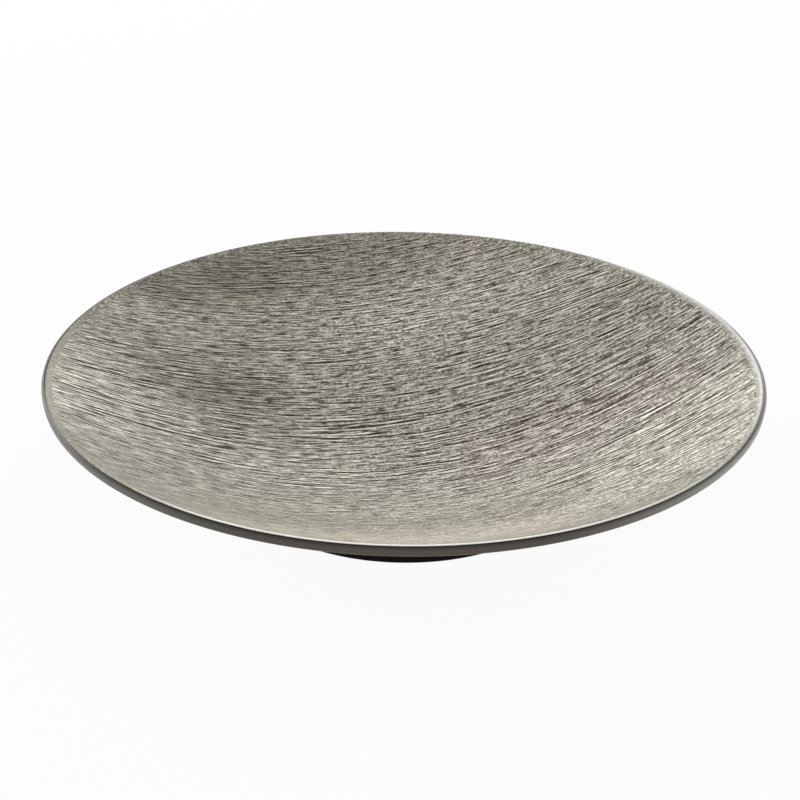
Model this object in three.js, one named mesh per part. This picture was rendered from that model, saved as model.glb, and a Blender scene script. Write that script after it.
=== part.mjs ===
// A deep coupe plate in millimetres, +Z up, standing on z = 0 with its axis on Z.
import * as THREE from "three";

// The plate as a whole
const plateRadius = 130;
const plateHeight = 47;

// The dished face: level in the middle, then curving up to a straight flank at the lip
const faceCentreHeight = 6.4;
const faceWellRadius = 26;
const faceFlankLength = 75;
const faceFlankAngle = THREE.MathUtils.degToRad(30.3);
const plainBorderWidth = 1.6;

// The wall between face and underside, measured square to the face
const centreWall = 4.6;
const edgeWall = 3.7;

// The edge: a round lip, a side that leans in downwards, and a small round below it
const lipRound = 1.4;
const edgeLean = THREE.MathUtils.degToRad(8);
const lowerRound = 0.9;

// The coats on the fired body
const coatThickness = 0.5;
const bondGap = 0.1;
const seamGap = 0.1;

// The foot ring, whose upper part sits in a groove under the dish
const footOuterRadius = 60.5;
const footWidth = 4.5;
const footFlare = 1;
const footRound = 0.8;
const footSeatDepth = 1.6;
const footSeatClearance = 0.15;
const footShoulder = 1.2;

// How finely the round forms are cut
const turnSteps = 64;
const faceSteps = 8;
const lipSteps = 5;
const lowerSteps = 2;
const underSteps = 6;
const wellSteps = 4;

const bodyDepth = coatThickness + bondGap;
const tongueOuterRadius = footOuterRadius + footFlare;
const tongueInnerRadius = footOuterRadius - footWidth - footFlare;

const point = (r, z) => new THREE.Vector2(r, z);
const heading = (angle) => point(Math.cos(angle), Math.sin(angle));
const along = (from, direction, distance) => from.clone().addScaledVector(direction, distance);

// The lip's circle touches the flank of the face and the side of the edge.
const flankDirection = heading(faceFlankAngle);
const flankNormal = heading(faceFlankAngle + Math.PI / 2);
const lipCentre = point(plateRadius - lipRound, plateHeight - lipRound);
const faceEnd = along(lipCentre, flankNormal, lipRound);

const faceCurve = new THREE.CubicBezierCurve(
  point(0, faceCentreHeight),
  point(faceWellRadius, faceCentreHeight),
  along(faceEnd, flankDirection, -faceFlankLength),
  faceEnd,
);

// The lower circle touches the side of the edge and the flank of the underside.
const roundsApart = edgeWall - lipRound - lowerRound;
const slant = faceFlankAngle + edgeLean;
const lowerSetback = (lipRound - lowerRound - roundsApart * Math.sin(slant)) / Math.cos(slant);
const lowerCentre = along(along(lipCentre, flankDirection, lowerSetback), flankNormal, -roundsApart);
const undersideEnd = 1 + lowerSetback / (3 * faceFlankLength);

// Places on the plate's skin, each with the direction that points out of the clay there
function facePlace(t) {
  const tangent = faceCurve.getTangent(t);
  return { at: faceCurve.getPoint(t), out: point(-tangent.y, tangent.x) };
}

function undersidePoint(t) {
  const { at, out } = facePlace(t);
  return along(at, out, -THREE.MathUtils.lerp(centreWall, edgeWall, t));
}

function undersidePlace(t) {
  const step = 1e-3;
  const before = undersidePoint(Math.max(t - step, 0));
  const after = undersidePoint(Math.min(t + step, 1));
  const tangent = after.sub(before).normalize();
  if (t === 0) tangent.set(1, 0);
  return { at: undersidePoint(t), out: point(tangent.y, -tangent.x) };
}

function arcPlaces(centre, radius, from, to, steps) {
  return spread(from, to, steps).map((angle) => {
    const out = heading(angle);
    return { at: along(centre, out, radius), out };
  });
}

function spread(from, to, steps) {
  return Array.from({ length: steps + 1 }, (_, i) => from + ((to - from) * i) / steps);
}

// The place on a curve that rises outwards, given as t, where its radius reaches a given one
function reach(curvePoint, radius) {
  let low = 0;
  let high = 1;
  for (let i = 0; i < 50; i++) {
    const middle = (low + high) / 2;
    if (curvePoint(middle).x < radius) low = middle;
    else high = middle;
  }
  return (low + high) / 2;
}

// A stretch of skin taken some depth into the clay
const sunk = (skin, depth) => skin.map(({ at, out }) => along(at, out, -depth));
const sunkUnder = (depth) => (t) => sunk([undersidePlace(t)], depth)[0];

const borderRadius = faceEnd.x - plainBorderWidth;
const onFace = (t) => facePlace(t).at;
const faceSeam = reach(onFace, borderRadius - seamGap);
const rimSeam = reach(onFace, borderRadius);
const wellSeam = reach(undersidePoint, tongueInnerRadius - seamGap);
const underSeam = reach(sunkUnder(coatThickness), tongueOuterRadius + seamGap);
const underEnd = undersideEnd - seamGap / (3 * faceFlankLength);

const faceSkin = spread(0, faceSeam, faceSteps).map(facePlace);
const underSkin = spread(underSeam, underEnd, underSteps).map(undersidePlace);
const wellSkin = spread(0, wellSeam, wellSteps).map(undersidePlace);
const rimSkin = [
  ...arcPlaces(lowerCentre, lowerRound, faceFlankAngle - Math.PI / 2, -edgeLean, lowerSteps),
  ...arcPlaces(lipCentre, lipRound, -edgeLean, faceFlankAngle + Math.PI / 2, lipSteps),
  facePlace(rimSeam),
];

// A coat is closed by two stretches that run the same way, the first below or outside the second.
function coat(first, second) {
  const outline = [...first, ...[...second].reverse()];
  const startsOnAxis = outline[0].x < 1e-6;
  return startsOnAxis ? outline : [...outline, outline[0].clone()];
}

// The dish under its coats, with the groove for the foot ring
function dishOutline() {
  const grooveInner = tongueInnerRadius - footSeatClearance;
  const grooveOuter = tongueOuterRadius + footSeatClearance;
  const grooveDepth = footSeatDepth + footSeatClearance;
  const bodyUnder = sunkUnder(bodyDepth);
  const innerLip = bodyUnder(reach(bodyUnder, grooveInner));
  const outerLip = bodyUnder(reach(bodyUnder, grooveOuter));
  const well = sunk(wellSkin, bodyDepth).filter((p) => p.x < grooveInner - seamGap);
  const under = sunk(underSkin, bodyDepth).filter((p) => p.x > grooveOuter + seamGap);
  return [
    ...well,
    innerLip,
    point(grooveInner, undersideHeight(tongueInnerRadius) + grooveDepth),
    point(grooveOuter, undersideHeight(tongueOuterRadius) + grooveDepth),
    outerLip,
    ...under,
    ...sunk(rimSkin, bodyDepth),
    ...sunk(faceSkin, bodyDepth).reverse(),
  ];
}

function undersideHeight(radius) {
  return undersidePoint(reach(undersidePoint, radius)).y;
}

// The foot: a flat sole with eased corners, sides that flare upwards, and a straight tongue in the groove
function footOutline() {
  const innerRadius = footOuterRadius - footWidth;
  const outerTop = undersideHeight(tongueOuterRadius);
  const innerTop = undersideHeight(tongueInnerRadius);
  const inner = point(innerRadius + footRound, footRound);
  const outer = point(footOuterRadius - footRound, footRound);
  const sole = (centre, from, to) => arcPlaces(centre, footRound, from, to, 2).map(({ at }) => at);
  const ring = [
    ...sole(inner, Math.PI, 1.5 * Math.PI),
    ...sole(outer, 1.5 * Math.PI, 2 * Math.PI),
    point(tongueOuterRadius, outerTop - footShoulder),
    point(tongueOuterRadius, outerTop + footSeatDepth),
    point(tongueInnerRadius, innerTop + footSeatDepth),
    point(tongueInnerRadius, innerTop - footShoulder),
  ];
  return [...ring, ring[0].clone()];
}

const plate = new THREE.Group();
plate.name = "deep_plate";

function addPiece(name, outline, finish) {
  const geometry = new THREE.LatheGeometry(outline, turnSteps).rotateX(Math.PI / 2);
  const piece = new THREE.Mesh(geometry, new THREE.MeshStandardMaterial(finish));
  piece.name = name;
  plate.add(piece);
}

const brushedSilver = { color: "#a3a096", roughness: 0.38, metalness: 0.85 };
const satinSilver = { color: "#b4b1a8", roughness: 0.3, metalness: 0.85 };
const darkGlaze = { color: "#4a453e", roughness: 0.35, metalness: 0.4 };
const darkClay = { color: "#1d1b19", roughness: 0.75, metalness: 0 };
const bareStoneware = { color: "#6b6258", roughness: 0.85, metalness: 0 };

addPiece("stoneware_dish", dishOutline(), bareStoneware);
addPiece("brushed_face_coat", coat(sunk(faceSkin, coatThickness), sunk(faceSkin, 0)), brushedSilver);
addPiece("rim_edge_coat", coat(sunk(rimSkin, 0), sunk(rimSkin, coatThickness)), satinSilver);
addPiece("underside_coat", coat(sunk(underSkin, 0), sunk(underSkin, coatThickness)), darkGlaze);
addPiece("foot_well_coat", coat(sunk(wellSkin, 0), sunk(wellSkin, coatThickness)), { ...darkGlaze });
addPiece("foot_ring", footOutline(), darkClay);

export default plate;
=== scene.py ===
"""A deep coupe plate with a brushed metallic face, standing on a pale studio floor."""
import math
import random
from bisect import bisect

import bmesh
import bpy
from mathutils import Matrix, Vector
from mathutils.geometry import interpolate_bezier


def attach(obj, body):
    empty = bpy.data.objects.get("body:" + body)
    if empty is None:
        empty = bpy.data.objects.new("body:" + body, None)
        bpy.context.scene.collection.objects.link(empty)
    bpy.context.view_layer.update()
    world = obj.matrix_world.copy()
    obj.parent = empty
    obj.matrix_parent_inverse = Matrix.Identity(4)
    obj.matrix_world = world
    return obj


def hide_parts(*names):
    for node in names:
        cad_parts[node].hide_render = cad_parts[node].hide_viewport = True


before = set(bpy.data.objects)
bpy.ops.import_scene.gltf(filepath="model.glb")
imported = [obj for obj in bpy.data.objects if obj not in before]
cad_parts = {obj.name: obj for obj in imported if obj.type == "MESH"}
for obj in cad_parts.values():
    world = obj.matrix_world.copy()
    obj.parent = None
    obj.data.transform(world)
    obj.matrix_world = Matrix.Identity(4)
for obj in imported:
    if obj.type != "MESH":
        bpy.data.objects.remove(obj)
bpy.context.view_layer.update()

MM = 0.001

# A stretch so great that heights no longer count
FLATTEN = 1e6

# The plate's own sizes, in millimetres, as in its solids
PLATE_RADIUS = 130.0
PLATE_HEIGHT = 47.0
FACE_CENTRE_HEIGHT = 6.4
FACE_WELL_RADIUS = 26.0
FACE_FLANK_LENGTH = 75.0
FACE_FLANK_ANGLE = math.radians(30.3)
PLAIN_BORDER = 1.6
CENTRE_WALL = 4.6
EDGE_WALL = 3.7
LIP_ROUND = 1.4
EDGE_LEAN = math.radians(8)
LOWER_ROUND = 0.9
COAT = 0.5
FOOT_OUTER = 60.5
FOOT_WIDTH = 4.5
FOOT_FLARE = 1.0
FOOT_ROUND = 0.8
FOOT_SEAT = 1.6
FOOT_SHOULDER = 1.2

# The seam between two coats, drawn finer than in the solids
HAIRLINE = 0.02

# How finely the turned pieces are cut, which edges count as sharp and how close points are welded
TURN_STEPS = 288
BACK_TURN_STEPS = 96
BACK_STEPS = 16
LOWER_STEPS = 8
LIP_STEPS = 18
BORDER_STEPS = 3
UNDER_STEPS = 20
SOLE_STEPS = 6
SHARP_ANGLE = math.radians(62)
WELD = 1e-7

# The brushed face: its rows run along the strokes, and its columns across them
STROKE_HEADING = math.radians(15.3)
STROKE_ROWS = 1400
STROKE_COLUMNS = 64
STROKE_BOW = 15.0
BOW_LINES = (-20, 70)
BRISTLE_SPREAD = 0.0018
DEEPEST = 0.18
PROUDEST = 0.05
STROKE_SEED = 41

# A bristle's track: how far it and its bead lie out, in widths, where its ends taper and where it widens
TRACK_REACH = 3.6
BEAD_OFFSET = 1.7
TRACK_TAPER = 0.6
TRACK_WIDENING = 0.6
WIDENING_LINES = (110, -20)

# The strokes stop a little before the face's edge, each band of rows at its own distance
EDGE_MARGIN = 0.1
RUN_OUT = (0.05, 0.6)
RUN_OUT_ROWS = 6

# Bundles of bristles that dig in, and the fine strokes between them; a burr is a share of the depth
BUNDLES = 480
BUNDLE_BRISTLES = (1, 3)
BUNDLE_LENGTH = 8.0
BUNDLE_EXTRA_LENGTH = 9.0
BUNDLE_SHARES = (0.6, 1.2)
BUNDLE_STAGGER = 5.0
BUNDLE_SPACING = (1.3, 3.8)
BUNDLE_SLOPE = 0.01
BUNDLE_DEPTH = (0.09, 0.17)
BUNDLE_WIDTH = (0.17, 0.24)
BUNDLE_BURR = 0.45
FINE_STROKES = 6000
FINE_LENGTH = (4, 12)
FINE_SLOPE = 0.014
FINE_DEPTH = (0.04, 0.1)
FINE_WIDTH = (0.15, 0.21)
FINE_BURR = 0.6

# In front of the soft line the brush touches lightly. Behind the full lines and at the right it bears fully,
# and a little less at the left, where it sets down.
SOFT_LINE = -85.0
FULL_CUT_LINE = 10.0
FULL_STREAK_LINE = 5.0
RIGHT_PULL = 0.8
LIGHT_TOUCH = 0.3
SET_DOWN_TOUCH = 0.85
SET_DOWN_LINES = (-70, 40)

# The studio: the floor lies a hair below the sole, and the camera looks down on the front of the plate
FLOOR_HALF_SIZE = 4000.0
FLOOR_DROP = 0.05
HORIZON_LIGHT = 1.0
SKY_LIGHT = 0.5
VIEW_AIM = (-1.39, 0, PLATE_HEIGHT - 13.67)
VIEW_DISTANCE = 810.5
VIEW_RISE = math.radians(26.42)
VIEW_ROLL = math.radians(0.74)
VIEW_WIDTH = math.radians(20.4)
SENSOR_WIDTH = 36


def heading(angle):
    return Vector((math.cos(angle), math.sin(angle)))


def smooth_step(low, high, value):
    t = min(max((value - low) / (high - low), 0.0), 1.0)
    return t * t * (3 - 2 * t)


# The plate's outline in radius and height. The face is one smooth curve from the middle to the lip.
flank = heading(FACE_FLANK_ANGLE)
flank_up = heading(FACE_FLANK_ANGLE + math.pi / 2)
lip_centre = Vector((PLATE_RADIUS - LIP_ROUND, PLATE_HEIGHT - LIP_ROUND))
face_end = lip_centre + flank_up * LIP_ROUND
rounds_apart = EDGE_WALL - LIP_ROUND - LOWER_ROUND
slant = FACE_FLANK_ANGLE + EDGE_LEAN
lower_setback = (LIP_ROUND - LOWER_ROUND - rounds_apart * math.sin(slant)) / math.cos(slant)
lower_centre = lip_centre + flank * lower_setback - flank_up * rounds_apart
border_radius = face_end.x - PLAIN_BORDER
face_radius = border_radius - HAIRLINE
tongue_outer = FOOT_OUTER + FOOT_FLARE
tongue_inner = FOOT_OUTER - FOOT_WIDTH - FOOT_FLARE

# How finely the face's curve is drawn and searched
FACE_SAMPLES = 2000
HALVINGS = 24
face_points = [
    p.to_2d() for p in interpolate_bezier(
        Vector((0, FACE_CENTRE_HEIGHT, 0)),
        Vector((FACE_WELL_RADIUS, FACE_CENTRE_HEIGHT, 0)),
        (face_end - flank * FACE_FLANK_LENGTH).to_3d(),
        face_end.to_3d(),
        FACE_SAMPLES + 1,
    )
]


def face_place(t):
    """Point on the face and the direction out of it, for t from 0 in the middle to 1 at the lip."""
    s = t * FACE_SAMPLES
    i = min(max(int(s), 0), FACE_SAMPLES - 1)
    along = (face_points[i + 1] - face_points[i]).normalized()
    out = Vector((-along.y, along.x)) if t > 0 else Vector((0, 1))
    return face_points[i].lerp(face_points[i + 1], s - i), out


face_radii = [point.x for point in face_points]


def face_t(radius):
    """The t at which the face comes to a radius."""
    i = min(max(bisect(face_radii, radius), 1), FACE_SAMPLES)
    span = face_radii[i] - face_radii[i - 1]
    return (i - 1 + (radius - face_radii[i - 1]) / span) / FACE_SAMPLES


def under_place(t):
    """Point on the underside below that place of the face, and the direction out of it."""
    point, out = face_place(t)
    return point - out * (CENTRE_WALL + (EDGE_WALL - CENTRE_WALL) * t), -out


def reach(place, radius):
    """The t at which an outline that runs outwards comes to a radius."""
    low, high = 0.0, 1.0
    for _ in range(HALVINGS):
        middle = (low + high) / 2
        if place(middle)[0].x < radius:
            low = middle
        else:
            high = middle
    return (low + high) / 2


def stretch(place, start, end, steps):
    return [place(start + (end - start) * i / steps) for i in range(steps + 1)]


def arc(centre, radius, start, end, steps):
    turns = [start + (end - start) * i / steps for i in range(steps + 1)]
    return [(centre + heading(a) * radius, heading(a)) for a in turns]


def sunk(skin, depth):
    return [point - out * depth for point, out in skin]


def spin_outline(bm, outline, closed, steps):
    """Turns an outline in millimetres once round the plate's axis."""
    verts = [bm.verts.new((p.x * MM, 0, p.y * MM)) for p in outline]
    edges = [bm.edges.new(pair) for pair in zip(verts, verts[1:])]
    if closed:
        edges.append(bm.edges.new((verts[-1], verts[0])))
    bmesh.ops.spin(
        bm, geom=verts + edges, cent=(0, 0, 0), axis=(0, 0, 1),
        angle=math.tau, steps=steps, use_merge=True,
    )
    bmesh.ops.remove_doubles(bm, verts=bm.verts, dist=WELD)


def turned(outline, closed=True):
    bm = bmesh.new()
    spin_outline(bm, outline, closed, TURN_STEPS)
    return bm


def add_piece(name, bm, node, finish):
    """Makes a mesh a piece of the plate that stands for one of its solids."""
    bmesh.ops.recalc_face_normals(bm, faces=bm.faces)
    mesh = bpy.data.meshes.new(name)
    bm.to_mesh(mesh)
    bm.free()
    mesh.shade_smooth()
    mesh.set_sharp_from_angle(angle=SHARP_ANGLE)
    mesh.materials.append(finish)
    piece = bpy.data.objects.new(name, mesh)
    bpy.context.scene.collection.objects.link(piece)
    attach(piece, "root")
    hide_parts(node)


class Wire:
    """A node's output. Sums and products of wires and numbers add Math nodes."""

    def __init__(self, nodes, node, index=0):
        self.nodes = nodes
        self.node = node
        self.socket = node.outputs[index]

    def output(self, index):
        return Wire(self.nodes, self.node, index)

    def math(self, operation, first, second):
        return self.nodes.add("Math", {"operation": operation}, {0: first, 1: second})

    def __add__(self, other):
        return self.math("ADD", self, other)

    def __sub__(self, other):
        return self.math("SUBTRACT", self, other)

    def __rsub__(self, other):
        return self.math("SUBTRACT", other, self)

    def __mul__(self, other):
        return self.math("MULTIPLY", self, other)

    def at_least(self, other):
        return self.math("MAXIMUM", self, other)

    __radd__ = __add__
    __rmul__ = __mul__


class Nodes:
    """The nodes of a finish or of the studio's world, with one method that adds any node."""

    def __init__(self, holder):
        holder.use_nodes = True
        self.tree = holder.node_tree

    def add(self, kind, settings=None, sockets=None, out=0):
        node = self.tree.nodes.new("ShaderNode" + kind)
        for key, value in (settings or {}).items():
            setattr(node, key, value)
        self.feed(node, sockets or {})
        return Wire(self, node, out)

    def feed(self, node, sockets):
        for key, value in sockets.items():
            if isinstance(value, Wire):
                self.tree.links.new(value.socket, node.inputs[key])
            else:
                node.inputs[key].default_value = value

    def place(self, centre=(0, 0, 0), turn=0.0, scale=(1, 1, 1)):
        """Object coordinates about a centre, turned and stretched."""
        return self.add(
            "Mapping", {"vector_type": "TEXTURE"},
            {
                "Vector": self.add("TexCoord", out=3),
                "Location": centre,
                "Rotation": (0, 0, turn),
                "Scale": scale,
            },
        )

    def brush_place(self, scale):
        """Places along and across the strokes, as the brushed face carries them, stretched."""
        rows = self.add("Attribute", {"attribute_name": "brush"}, out=1)
        return self.add("Mapping", {"vector_type": "TEXTURE"}, {"Vector": rows, "Scale": scale})

    def split(self, vector):
        """The three parts of a vector."""
        first = self.add("SeparateXYZ", None, {0: vector})
        return first, first.output(1), first.output(2)

    def length(self, vector):
        return self.add("VectorMath", {"operation": "LENGTH"}, {0: vector}, out=1)

    def radius(self):
        """Distance from the plate's axis."""
        return self.length(self.place(scale=(1, 1, FLATTEN)))

    def noise(self, where, size, detail=2.0, roughness=0.55):
        return self.add(
            "TexNoise", None,
            {"Vector": where, "Scale": 1 / (size * MM), "Detail": detail, "Roughness": roughness},
        )

    def ease(self, value, low, high, to_low=0.0, to_high=1.0):
        return self.add(
            "MapRange", {"interpolation_type": "SMOOTHSTEP"},
            {"Value": value, "From Min": low, "From Max": high, "To Min": to_low, "To Max": to_high},
        )

    def mix(self, share, first, second):
        return self.add("Mix", {"data_type": "RGBA"}, {"Factor": share, 6: first, 7: second}, out=2)

    def bump(self, height, depth, under=None):
        sockets = {"Height": height, "Distance": depth * MM}
        if under:
            sockets["Normal"] = under
        return self.add("Bump", None, sockets)


def new_finish(name):
    material = bpy.data.materials.new(name)
    nodes = Nodes(material)
    return material, nodes, nodes.tree.nodes["Principled BSDF"]


def tint(red, green, blue):
    return (red, green, blue, 1.0)


SILVER_PALE = tint(0.379, 0.358, 0.302)
SILVER_DEEP = tint(0.293, 0.276, 0.229)
SILVER_SPECK = tint(0.74, 0.712, 0.625)
DARK_SPECK = tint(0.085, 0.075, 0.05)
STREAK_DARK = tint(0.06, 0.052, 0.03)
# Painted shade in the grooves and painted highlight on the ridges beside them
GROOVE_SHADE = tint(0.032, 0.026, 0.008)
BURR_HIGHLIGHT = tint(0.88, 0.85, 0.755)
ROSY_LUSTRE = tint(1.03, 0.962, 0.988)
STEEP_SHEEN = tint(0.9, 0.9, 0.88)
# Painted light: the border paler towards the right
RIGHT_BORDER_LIGHT = tint(0.5, 0.495, 0.48)
# Painted highlights on the crest and lip
CREST_HIGHLIGHT = tint(0.93, 0.915, 0.85)
LIP_HIGHLIGHT = tint(0.86, 0.86, 0.87)
# Painted dark reflection in a line under the lip
LIP_DARK_REFLECTION = tint(0.014, 0.012, 0.008)
# The side's dark glaze; at the right and left it is painted lighter as painted light
RUN_OFF_FRONT = tint(0.085, 0.076, 0.063)
SIDE_PAINTED_LIGHT_RIGHT = tint(0.3, 0.284, 0.256)
SIDE_PAINTED_LIGHT_LEFT = tint(0.15, 0.142, 0.128)
GLAZE_BLACK = tint(0.035, 0.031, 0.027)
GLAZE_BROWN = tint(0.08, 0.071, 0.06)
GLAZE_RING = tint(0.15, 0.135, 0.112)
GLAZE_SPECK = tint(0.22, 0.2, 0.165)
# The foot's near-black: dark clay, made darker as painted shade under the plate
CLAY_BLACK_AND_SHADE = tint(0.004, 0.0036, 0.0032)
CLAY_BROWN_AND_SHADE = tint(0.01, 0.009, 0.0076)
CLAY_GRIT = tint(0.04, 0.034, 0.028)
STONEWARE_WARM = tint(0.16, 0.13, 0.105)
STONEWARE_DARK = tint(0.1, 0.083, 0.068)
WHITE = tint(1, 1, 1)
PAPER_WHITE = tint(0.9, 0.9, 0.9)

# Broad marks on the face, in millimetres: place, length along the strokes, width and strength. The dull
# places are painted shade and the pale places painted light, the strongest at the front; the rosy places are
# the glaze's own lustre from the kiln.
PAINTED_SHADE_PLACES = (
    ((-30, 114), 70, 24, 0.3),
    ((-72, 94), 42, 20, 0.36),
    ((-97, 76), 24, 14, 0.28),
    ((-72, 27), 52, 30, 0.36),
    ((-85, -14), 55, 30, 0.22),
    ((-45, 4), 36, 18, 0.16),
    ((-108, -50), 42, 32, 0.18),
)
# Painted light, the strongest at the front
PAINTED_LIGHT_PLACES = (
    ((15, 92), 80, 24, 0.24),
    ((72, 91), 30, 14, 0.22),
    ((-100, 58), 26, 16, 0.2),
    ((-16, -49), 85, 22, 0.4),
    ((68, -28), 40, 22, 0.17),
    ((85, -52), 50, 26, 0.32),
    ((100, -5), 32, 36, 0.1),
    ((0, -94), 120, 50, 0.83),
)
ROSY_PLACES = (
    ((80, 17), 46, 20, 1.0),
    ((48, 9), 44, 26, 1.0),
    ((-100, 5), 40, 25, 0.3),
)


def silver_tone(nodes):
    """The silver glaze's own uneven tone."""
    clouds = nodes.noise(nodes.place(turn=STROKE_HEADING, scale=(2.5, 1, 1)), 30.0, 3.0)
    return nodes.mix(nodes.ease(clouds, 0.2, 0.8), SILVER_DEEP, SILVER_PALE)


def speckled(nodes, tone, share):
    """Lays fine pale and dark specks over a tone, and gives the specks as well."""
    grain = nodes.noise(nodes.brush_place((1.2, 1.35, 1)), 1.0, 1.0, 0.6)
    tone = nodes.mix(nodes.ease(grain, 0.52, 0.68) * (0.75 * share), tone, SILVER_SPECK)
    return nodes.mix(nodes.ease(grain, 0.47, 0.32) * (0.6 * share), tone, DARK_SPECK), grain


def oval(nodes, centre, long, wide):
    """1 at a place on the face, falling to 0 at the edge of an oval that lies along the strokes."""
    middle = (centre[0] * MM, centre[1] * MM, 0)
    where = nodes.place(middle, STROKE_HEADING, (long * MM, wide * MM, FLATTEN))
    return nodes.ease(nodes.length(where), 1.0, 0.0)


def oval_marks(nodes, places):
    return sum(oval(nodes, centre, long, wide) * strength for centre, long, wide, strength in places)


def painted_light_and_lustre(nodes, tone):
    """Lays broad marks over a tone: painted shade in dull places, painted light in pale places, and a rosy
    lustre of the glaze.
    """
    # Painted shade in the dull places and painted light in the pale places
    painted_shade = oval_marks(nodes, PAINTED_SHADE_PLACES)
    painted_light = oval_marks(nodes, PAINTED_LIGHT_PLACES)
    ragged = nodes.noise(nodes.place(turn=STROKE_HEADING, scale=(1.6, 1, 1)), 10.0, 4.0)
    rosy = nodes.ease(oval_marks(nodes, ROSY_PLACES) + 1.8 * ragged, 1.15, 1.6)
    tone = nodes.add("VectorMath", {"operation": "SCALE"}, {0: tone, "Scale": 1 - painted_shade + painted_light})
    return nodes.add(
        "VectorMath", {"operation": "MULTIPLY"},
        {0: tone, 1: nodes.mix(rosy, WHITE, ROSY_LUSTRE)},
    )


def brushed_silver_glaze():
    """Speckled silver, with painted shade in the thin strokes cut in the face and painted highlights on the
    ridges beside them.
    """
    material, nodes, shader = new_finish("brushed_silver_glaze")
    along, across, _ = nodes.split(nodes.brush_place((1, 1, 1)))
    streaks = nodes.noise(nodes.brush_place((6, 1, 1)), 1.0, 1.0)
    breaks = nodes.ease(nodes.noise(nodes.brush_place((1.5, 1, 1)), 2.2), 0.36, 0.5, 0.45, 1.0)
    relief = nodes.add("Attribute", {"attribute_name": "relief"}, out=2)
    groove = nodes.ease(relief, -0.04, -0.45) * breaks
    burr = nodes.ease(relief, 0.12, 0.7) * breaks
    pulled = across + RIGHT_PULL * along.at_least(0.0)
    drag = nodes.ease(pulled, SOFT_LINE * MM, FULL_STREAK_LINE * MM, LIGHT_TOUCH, 1.0)
    share = drag * nodes.ease(along, -80 * MM, 20 * MM, 0.6, 1.4)
    tone, grain = speckled(nodes, silver_tone(nodes), share)
    tone = nodes.mix(nodes.ease(streaks, 0.55, 0.66) * drag * 0.83, tone, SILVER_SPECK)
    tone = nodes.mix(nodes.ease(streaks, 0.46, 0.36) * drag * 0.88, tone, STREAK_DARK)
    # Painted highlight on the ridges beside the grooves, then painted shade in the grooves
    tone = nodes.mix(burr * 0.9, tone, BURR_HIGHLIGHT)
    tone = nodes.mix(groove * 0.95, tone, GROOVE_SHADE)
    rough = nodes.ease(grain, 0.3, 0.7, 0.27, 0.41) + (1 - drag) * 0.3
    nodes.feed(shader, {
        "Base Color": painted_light_and_lustre(nodes, tone),
        "Metallic": 0.9,
        "Specular Tint": STEEP_SHEEN,
        "Roughness": rough + groove * 0.1 - burr * 0.08,
        "Normal": nodes.bump(grain, 0.1, nodes.bump(streaks, 0.12)),
    })
    return material


def plain_silver_glaze():
    """Silver that smooths out over the border, with painted highlights on the crest and lip, a painted dark
    reflection in a line under the lip, and a darker side painted lighter towards the right and left.
    """
    material, nodes, shader = new_finish("plain_silver_glaze")
    right, back, up = nodes.split(nodes.place())
    outward = (nodes.radius() - lip_centre.x * MM) - 0.8 * (up - lip_centre.y * MM)

    # How the lip differs round the plate: where its painted highlights and painted dark line lie, and how
    # speckled it is
    crest_highlight_reach = nodes.ease(0.15 * right - 0.99 * back, 70 * MM, 112 * MM)
    crest_highlight_reach = crest_highlight_reach * nodes.ease(right, 40 * MM, 110 * MM, 1.0, 0.35)
    dark_line_widening = nodes.ease(0.6 * back - 0.8 * right, 60 * MM, 100 * MM)
    dark_line_widening = dark_line_widening + nodes.ease(right, 110 * MM, 127 * MM)
    rough = nodes.ease(back + 1.1 * right.at_least(0.0), 0.0, 90 * MM, 0.45, 1.2)
    lip_highlight_reach = nodes.ease(right + 0.3 * back, 98 * MM, 126 * MM)

    # The bands of the lip, from the border outwards: painted highlights on the lip and crest, a painted dark
    # line, then the side
    lip_highlight = nodes.ease(outward, -2.3 * MM, -1.5 * MM) * lip_highlight_reach
    crest_highlight = nodes.ease(outward, -1.8 * MM, -1.4 * MM) * crest_highlight_reach
    # A painted dark reflection in a line just under the lip, wider at the back left and at the far right
    dark_reflection_line = nodes.ease(outward + dark_line_widening * 0.7 * MM, -0.7 * MM, -0.3 * MM)
    dark_reflection_line = dark_reflection_line * nodes.ease(outward, 0.3 * MM, -0.1 * MM) * nodes.ease(right, 60 * MM, 120 * MM, 1.0, 0.7)
    side = nodes.ease(outward, -0.7 * MM, -0.3 * MM)

    # The side's dark glaze, painted lighter towards the right and less so towards the left, as painted light
    side_glaze_and_light = nodes.mix(nodes.ease(right, 40 * MM, 125 * MM), RUN_OFF_FRONT, SIDE_PAINTED_LIGHT_RIGHT)
    side_glaze_and_light = nodes.mix(nodes.ease(right, -40 * MM, -110 * MM), side_glaze_and_light, SIDE_PAINTED_LIGHT_LEFT)
    tone, grain = speckled(nodes, silver_tone(nodes), rough)
    # The border is painted paler towards the right as painted light
    tone = nodes.mix(nodes.ease(right, 50 * MM, 125 * MM) * 0.25, painted_light_and_lustre(nodes, tone), RIGHT_BORDER_LIGHT)
    # Painted highlights: on the crest towards the front, on the lip towards the right
    tone = nodes.mix(crest_highlight, tone, CREST_HIGHLIGHT)
    tone = nodes.mix(lip_highlight * 0.65, tone, LIP_HIGHLIGHT)
    nodes.feed(shader, {
        "Base Color": nodes.mix(dark_reflection_line, nodes.mix(side, tone, side_glaze_and_light), LIP_DARK_REFLECTION),
        "Metallic": nodes.ease(side, 0.0, 1.0, 0.9, 0.5),
        "Specular Tint": STEEP_SHEEN,
        "Roughness": nodes.ease(grain, 0.3, 0.7, 0.4, 0.5) - side * 0.14,
        "Normal": nodes.bump(grain, 0.03),
    })
    return material


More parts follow.
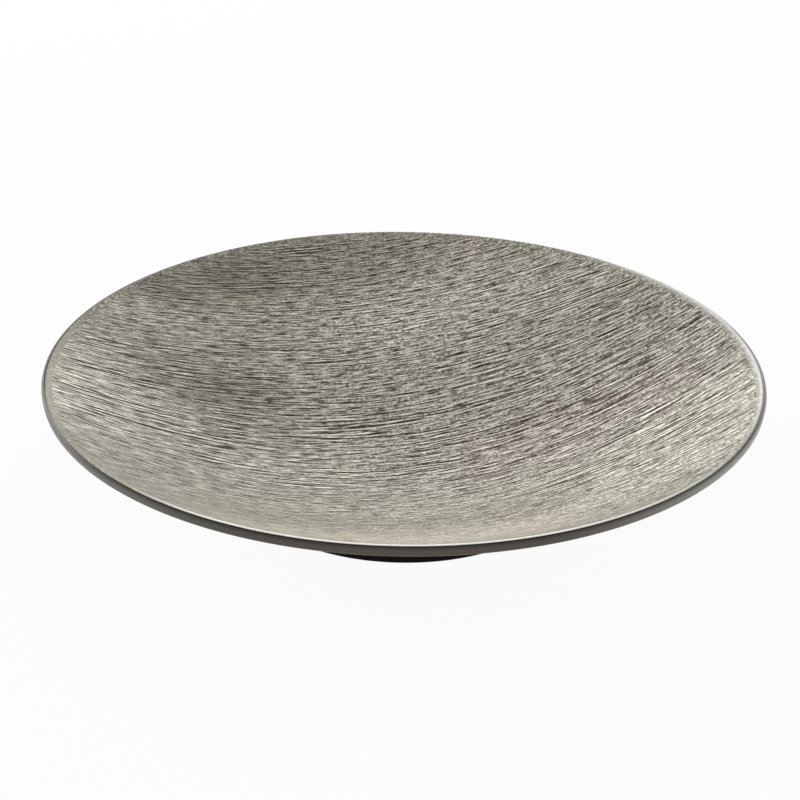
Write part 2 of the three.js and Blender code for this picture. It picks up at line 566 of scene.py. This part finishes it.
def dark_glaze():
    """A dark glaze with pale specks, through which faint rings from the turning show."""
    material, nodes, shader = new_finish("dark_glaze")
    where = nodes.place()
    rings = nodes.noise(nodes.add("CombineXYZ", None, {0: nodes.radius()}), 3.0, 3.0)
    clouds = nodes.noise(where, 28.0, 4.0)
    specks = nodes.noise(where, 1.1, 1.0)
    tone = nodes.mix(nodes.ease(clouds, 0.3, 0.7), GLAZE_BLACK, GLAZE_BROWN)
    tone = nodes.mix(nodes.ease(rings, 0.45, 0.75) * 0.4, tone, GLAZE_RING)
    tone = nodes.mix(nodes.ease(specks, 0.66, 0.74) * 0.6, tone, GLAZE_SPECK)
    nodes.feed(shader, {
        "Base Color": tone,
        "Metallic": 0.35,
        "Roughness": nodes.ease(clouds, 0.3, 0.7, 0.28, 0.42),
        "Normal": nodes.bump(specks, 0.03, nodes.bump(rings, 0.3, nodes.bump(clouds, 0.25))),
    })
    return material


# A foot of dark clay with grit, painted near-black partly as the shade under the plate
def dark_clay():
    material, nodes, shader = new_finish("dark_clay")
    where = nodes.place()
    grit = nodes.noise(where, 0.9, 3.0)
    clouds = nodes.noise(where, 11.0, 3.0)
    tone = nodes.mix(nodes.ease(clouds, 0.3, 0.7), CLAY_BLACK_AND_SHADE, CLAY_BROWN_AND_SHADE)
    nodes.feed(shader, {
        "Base Color": nodes.mix(nodes.ease(grit, 0.6, 0.74) * 0.4, tone, CLAY_GRIT),
        "Roughness": nodes.ease(grit, 0.3, 0.7, 0.7, 0.88),
        "Specular IOR Level": 0.12,
        "Normal": nodes.bump(grit, 0.1),
    })
    return material


def bare_stoneware():
    material, nodes, shader = new_finish("bare_stoneware")
    grit = nodes.noise(nodes.place(), 1.4, 3.0)
    nodes.feed(shader, {
        "Base Color": nodes.mix(nodes.ease(grit, 0.35, 0.7), STONEWARE_WARM, STONEWARE_DARK),
        "Roughness": nodes.ease(grit, 0.3, 0.7, 0.8, 0.9),
        "Normal": nodes.bump(grit, 0.1),
    })
    return material


class BrushedRelief:
    """Heights of the brushed face over rows along the strokes, in millimetres."""

    def __init__(self):
        self.pitch = 2 * face_radius / STROKE_ROWS
        self.across = [row * self.pitch - face_radius for row in range(STROKE_ROWS + 1)]
        self.chord = [math.sqrt(max(face_radius ** 2 - a * a, 1e-4)) for a in self.across]
        self.height = [[0.0] * (STROKE_COLUMNS + 1) for _ in self.across]
        self.run_out = [0.0] * (STROKE_ROWS + 1)

    def stroke(self, along, across, length, slope, depth, width, burr):
        """One bristle's track. Burr is the height of the bead beside it, as a share of the depth."""
        margin = TRACK_REACH * width + abs(slope) * length / 2
        first = max(int((across - margin + face_radius) / self.pitch), 0)
        last = min(int((across + margin + face_radius) / self.pitch) + 1, STROKE_ROWS)
        side = BEAD_OFFSET * width * math.copysign(1, burr)
        for row in range(first, last + 1):
            step = 2 * self.chord[row] / STROKE_COLUMNS
            start = max(math.ceil((along - length / 2 + self.chord[row]) / step), 0)
            end = min(math.floor((along + length / 2 + self.chord[row]) / step), STROKE_COLUMNS)
            for column in range(start, end + 1):
                run = column * step - self.chord[row] - along
                offset = self.across[row] - across - slope * run
                track = -math.exp(-((offset / width) ** 2))
                track += abs(burr) * math.exp(-(((offset - side) / width) ** 2))
                taper = smooth_step(1, TRACK_TAPER, abs(run) / length * 2)
                self.height[row][column] += depth * track * taper


def brushed_relief():
    chance = random.Random(STROKE_SEED)
    relief = BrushedRelief()

    def spot():
        while True:
            along, across = chance.uniform(-1, 1), chance.uniform(-1, 1)
            if math.hypot(along, across) < 1:
                return along * face_radius, across * face_radius

    def track(across, low, high):
        """A track's width, which grows from the back of the face towards its middle."""
        return chance.uniform(low, high) * (1 + TRACK_WIDENING * smooth_step(*WIDENING_LINES, across))

    def bite_at(along, across):
        """How hard the brush bears: lightly at the left, where it sets down, and at the front."""
        drag = smooth_step(SOFT_LINE, FULL_CUT_LINE, across + RIGHT_PULL * max(along, 0))
        set_down = smooth_step(*SET_DOWN_LINES, along)
        touch = SET_DOWN_TOUCH + (1 - SET_DOWN_TOUCH) * set_down
        return touch * (LIGHT_TOUCH + (1 - LIGHT_TOUCH) * drag)

    for _ in range(BUNDLES):
        along, across = spot()
        bite = bite_at(along, across)
        slope = chance.gauss(0, BUNDLE_SLOPE)
        length = BUNDLE_LENGTH + chance.expovariate(1 / BUNDLE_EXTRA_LENGTH)
        for _ in range(chance.randint(*BUNDLE_BRISTLES)):
            relief.stroke(
                along + chance.gauss(0, BUNDLE_STAGGER), across,
                length * chance.uniform(*BUNDLE_SHARES), slope,
                bite * chance.uniform(*BUNDLE_DEPTH), track(across, *BUNDLE_WIDTH),
                chance.choice((-BUNDLE_BURR, BUNDLE_BURR)),
            )
            across += chance.uniform(*BUNDLE_SPACING)
    for _ in range(FINE_STROKES):
        along, across = spot()
        bite = bite_at(along, across)
        relief.stroke(
            along, across, chance.uniform(*FINE_LENGTH), chance.gauss(0, FINE_SLOPE),
            bite * chance.uniform(*FINE_DEPTH), track(across, *FINE_WIDTH),
            chance.choice((-FINE_BURR, FINE_BURR)),
        )
    for row in range(STROKE_ROWS + 1):
        fresh = row % RUN_OUT_ROWS == 0
        relief.run_out[row] = chance.uniform(*RUN_OUT) if fresh else relief.run_out[row - 1]
    return relief


def brush_point(flat):
    """Where a place lies along and across the strokes; the bristles lie closer together at the back."""
    return Vector((flat.x, flat.y + BRISTLE_SPREAD * flat.y ** 2, 0)) * MM


def brushed_face():
    """The inner coat: a fine grid drawn into a disc, lifted onto the dish and cut by the strokes."""
    relief = brushed_relief()
    bm = bmesh.new()
    back = stretch(face_place, 0.0, face_t(face_radius), BACK_STEPS)
    spin_outline(bm, sunk(back, COAT), False, BACK_TURN_STEPS)
    depths = bm.verts.layers.float.new("relief")
    places = bm.verts.layers.float_vector.new("brush")
    grid = bmesh.ops.create_grid(bm, x_segments=STROKE_COLUMNS, y_segments=STROKE_ROWS, size=1.0)["verts"]
    turn = Matrix.Rotation(STROKE_HEADING, 2)
    edge = face_radius - EDGE_MARGIN
    for vert in grid:
        row = round((vert.co.y + 1) / 2 * STROKE_ROWS)
        column = round((vert.co.x + 1) / 2 * STROKE_COLUMNS)
        flat = Vector((vert.co.x * relief.chord[row], relief.across[row]))
        vert[places] = brush_point(flat)
        inward = 1 - min(flat.length_squared / face_radius ** 2, 1)
        flat.y += STROKE_BOW * inward * smooth_step(*BOW_LINES, flat.y)
        radius = min(flat.length, face_radius)
        fade = smooth_step(edge, edge - relief.run_out[row], radius)
        height = min(max(relief.height[row][column], -DEEPEST), PROUDEST) * fade
        vert[depths] = height / DEEPEST if height < 0 else height / PROUDEST
        point, out = face_place(face_t(radius))
        around = (turn @ flat).normalized() if radius > 0.001 else Vector((1, 0))
        place = around * (point.x + out.x * height)
        vert.co = Vector((place.x, place.y, point.y + out.y * height)) * MM
    bmesh.ops.remove_doubles(bm, verts=grid, dist=WELD)
    bmesh.ops.bridge_loops(bm, edges=[e for e in bm.edges if e.is_boundary])
    return bm


def rim_edge():
    border_height = face_place(face_t(border_radius))[0].y
    skin = arc(lower_centre, LOWER_ROUND, FACE_FLANK_ANGLE - math.pi / 2, -EDGE_LEAN, LOWER_STEPS)
    skin += arc(lip_centre, LIP_ROUND, -EDGE_LEAN, FACE_FLANK_ANGLE + math.pi / 2, LIP_STEPS)
    skin += stretch(face_place, 1.0, face_t(border_radius), BORDER_STEPS)[1:]
    bm = turned(sunk(skin, 0) + sunk(skin, COAT)[::-1])
    places = bm.verts.layers.float_vector.new("brush")
    turn = Matrix.Rotation(-STROKE_HEADING, 2)
    for vert in bm.verts:
        height = Vector((0, 0, vert.co.z - border_height * MM))
        vert[places] = brush_point(turn @ vert.co.to_2d() / MM) + height
    return bm


def underside():
    start = reach(lambda t: sunk([under_place(t)], COAT), tongue_outer + HAIRLINE)
    end = 1 + lower_setback / (3 * FACE_FLANK_LENGTH)
    skin = stretch(under_place, start, end, UNDER_STEPS)
    return turned(sunk(skin, 0) + sunk(skin, COAT)[::-1])


def foot_well():
    skin = stretch(under_place, 0.0, reach(under_place, tongue_inner - HAIRLINE), UNDER_STEPS)
    return turned(sunk(skin, 0) + sunk(skin, COAT)[::-1], closed=False)


def foot_ring():
    inner = Vector((FOOT_OUTER - FOOT_WIDTH + FOOT_ROUND, FOOT_ROUND))
    outer = Vector((FOOT_OUTER - FOOT_ROUND, FOOT_ROUND))
    outer_top = under_place(reach(under_place, tongue_outer))[0].y
    inner_top = under_place(reach(under_place, tongue_inner))[0].y
    outline = sunk(arc(inner, FOOT_ROUND, math.pi, 1.5 * math.pi, SOLE_STEPS), 0)
    outline += sunk(arc(outer, FOOT_ROUND, 1.5 * math.pi, math.tau, SOLE_STEPS), 0)
    outline += [
        Vector((tongue_outer, outer_top - FOOT_SHOULDER)),
        Vector((tongue_outer, outer_top + FOOT_SEAT)),
        Vector((tongue_inner, inner_top + FOOT_SEAT)),
        Vector((tongue_inner, inner_top - FOOT_SHOULDER)),
    ]
    return turned(outline)


glaze = dark_glaze()
add_piece(
    "brushed_face", brushed_face(), "brushed_face_coat",
    brushed_silver_glaze(),
)
add_piece("rim_edge", rim_edge(), "rim_edge_coat", plain_silver_glaze())
add_piece("underside", underside(), "underside_coat", glaze)
add_piece("foot_well", foot_well(), "foot_well_coat", glaze)
add_piece("foot", foot_ring(), "foot_ring", dark_clay())
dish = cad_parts["stoneware_dish"]
dish.data.materials.clear()
dish.data.materials.append(bare_stoneware())


def studio_floor():
    bm = bmesh.new()
    bmesh.ops.create_grid(bm, x_segments=1, y_segments=1, size=FLOOR_HALF_SIZE * MM)
    bmesh.ops.translate(bm, vec=(0, 0, -FLOOR_DROP * MM), verts=bm.verts)
    mesh = bpy.data.meshes.new("floor")
    bm.to_mesh(mesh)
    bm.free()
    material, nodes, shader = new_finish("white_paper")
    nodes.feed(shader, {"Base Color": PAPER_WHITE, "Roughness": 0.9})
    glow = nodes.add("Emission", None, {"Strength": 1.0})
    path = nodes.add("LightPath")
    seen = path.at_least(path.output(3)).at_least(path.output(6))
    paper = nodes.add("MixShader", None, {0: seen * 0.95, 1: Wire(nodes, shader), 2: glow})
    nodes.feed(nodes.tree.nodes["Material Output"], {"Surface": paper})
    mesh.materials.append(material)
    floor = bpy.data.objects.new("floor", mesh)
    bpy.context.scene.collection.objects.link(floor)


def soft_box(name, place, width, height, power):
    """A lamp with a wide face, turned towards the plate. Its place and sizes are in metres."""
    lamp = bpy.data.lights.new(name, "AREA")
    lamp.shape = "RECTANGLE"
    lamp.size = width
    lamp.size_y = height
    lamp.energy = power
    holder = bpy.data.objects.new(name, lamp)
    holder.location = place
    holder.rotation_euler = (-Vector(place)).to_track_quat("-Z", "Y").to_euler()
    bpy.context.scene.collection.objects.link(holder)


def studio_light():
    world = bpy.data.worlds.new("studio")
    bpy.context.scene.world = world
    nodes = Nodes(world)
    rise = nodes.split(nodes.add("TexCoord"))[2]
    nodes.feed(nodes.tree.nodes["Background"], {
        "Color": WHITE,
        "Strength": nodes.ease(rise, 0.02, 0.1, HORIZON_LIGHT, SKY_LIGHT),
    })
    soft_box("back_box", place=(0, 1.25, 0.42), width=2.6, height=0.62, power=6.9)
    soft_box("top_box", place=(0, 0.42, 1.18), width=1.4, height=1.0, power=1.6)
    soft_box("left_box", place=(-1.0, 0.8, 0.5), width=0.8, height=0.7, power=5.0)


def camera():
    aim = Vector(VIEW_AIM) * MM
    lens = bpy.data.cameras.new("camera")
    lens.sensor_fit = "HORIZONTAL"
    lens.sensor_width = SENSOR_WIDTH
    lens.lens = SENSOR_WIDTH / 2 / math.tan(VIEW_WIDTH / 2)
    holder = bpy.data.objects.new("camera", lens)
    holder.location = aim + Vector((0, -math.cos(VIEW_RISE), math.sin(VIEW_RISE))) * VIEW_DISTANCE * MM
    level = (aim - holder.location).to_track_quat("-Z", "Y").to_matrix()
    holder.rotation_euler = (level @ Matrix.Rotation(VIEW_ROLL, 3, "Z")).to_euler()
    bpy.context.scene.collection.objects.link(holder)
    bpy.context.scene.camera = holder


studio_floor()
studio_light()
camera()
bpy.context.scene.view_settings.view_transform = "Standard"
